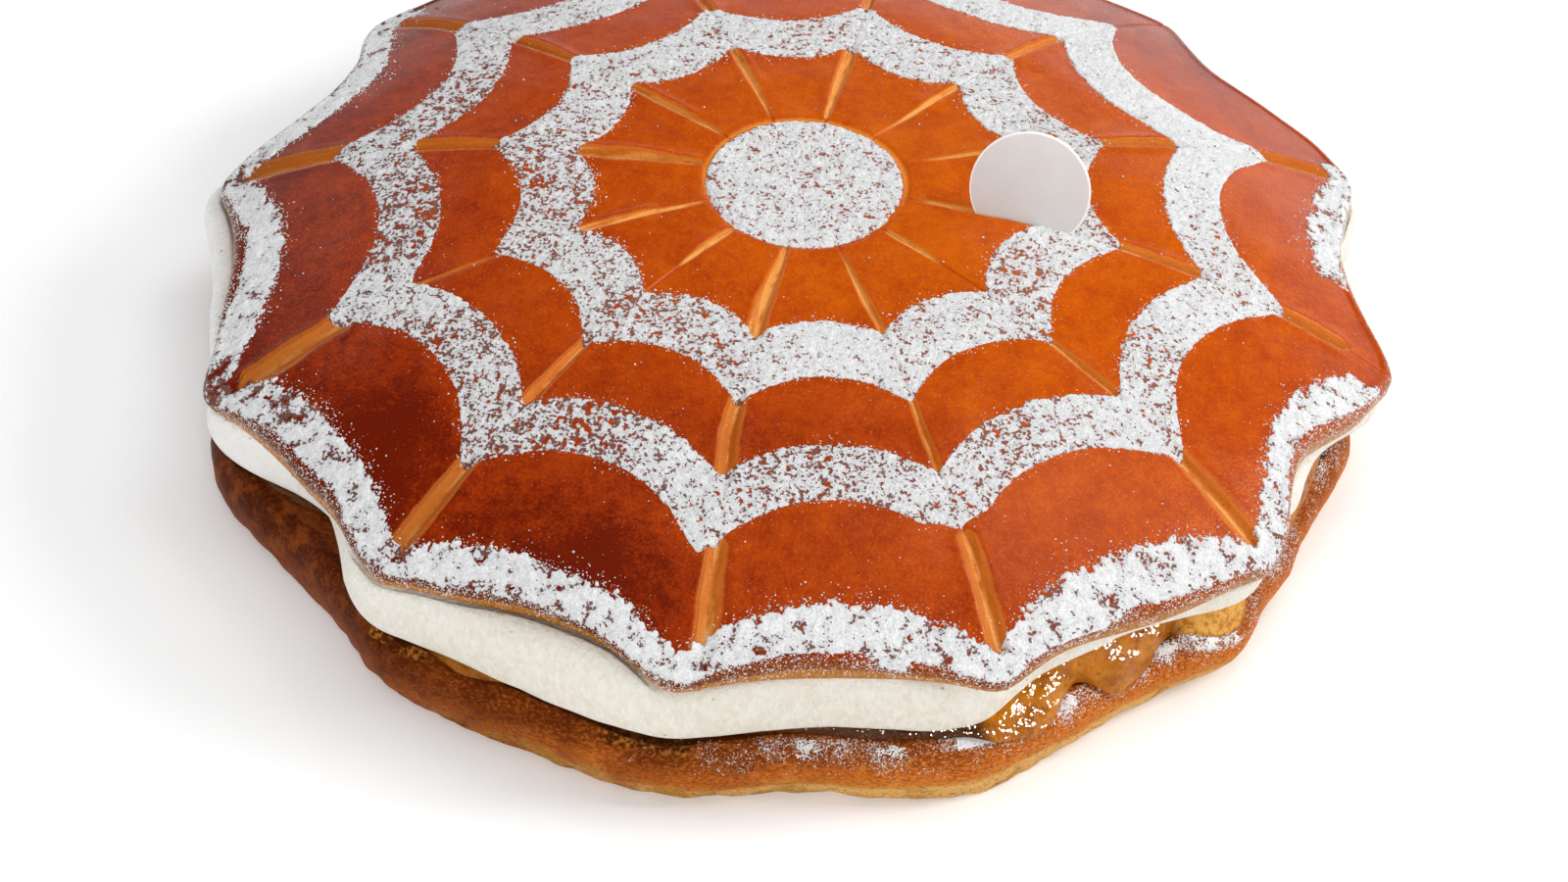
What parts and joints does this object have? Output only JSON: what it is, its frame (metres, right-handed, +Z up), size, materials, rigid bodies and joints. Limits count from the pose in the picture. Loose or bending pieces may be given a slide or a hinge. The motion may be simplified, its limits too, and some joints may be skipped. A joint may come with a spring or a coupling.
{
  "type": "galette des rois",
  "caption": "Round festive brioche galette, split and filled with cream and praline, its scored domed lid dusted with a web of icing sugar and marked with a plain round tag.",
  "frame": {"origin": "centre of the outline, on the surface that the galette rests on", "axes": "+Z up through the middle of the lid, -Y towards the front score line, +X towards the score line that holds the tag"},
  "size_m": [0.261, 0.2612, 0.0758],
  "materials": {
    "base_crust": "matt baked crust, golden at the foot",
    "praline": "glossy praline",
    "cream": "soft matt whipped cream",
    "lid_crust": "glazed brown crust with bands of white icing sugar",
    "tag": "satin milky white, bare"
  },
  "bodies": {
    "root": {"brioche_base": "base_crust", "praline_layer": "praline", "cream_layer": "cream", "brioche_lid": "lid_crust", "tag_disc": "tag"}
  },
  "joints": []
}
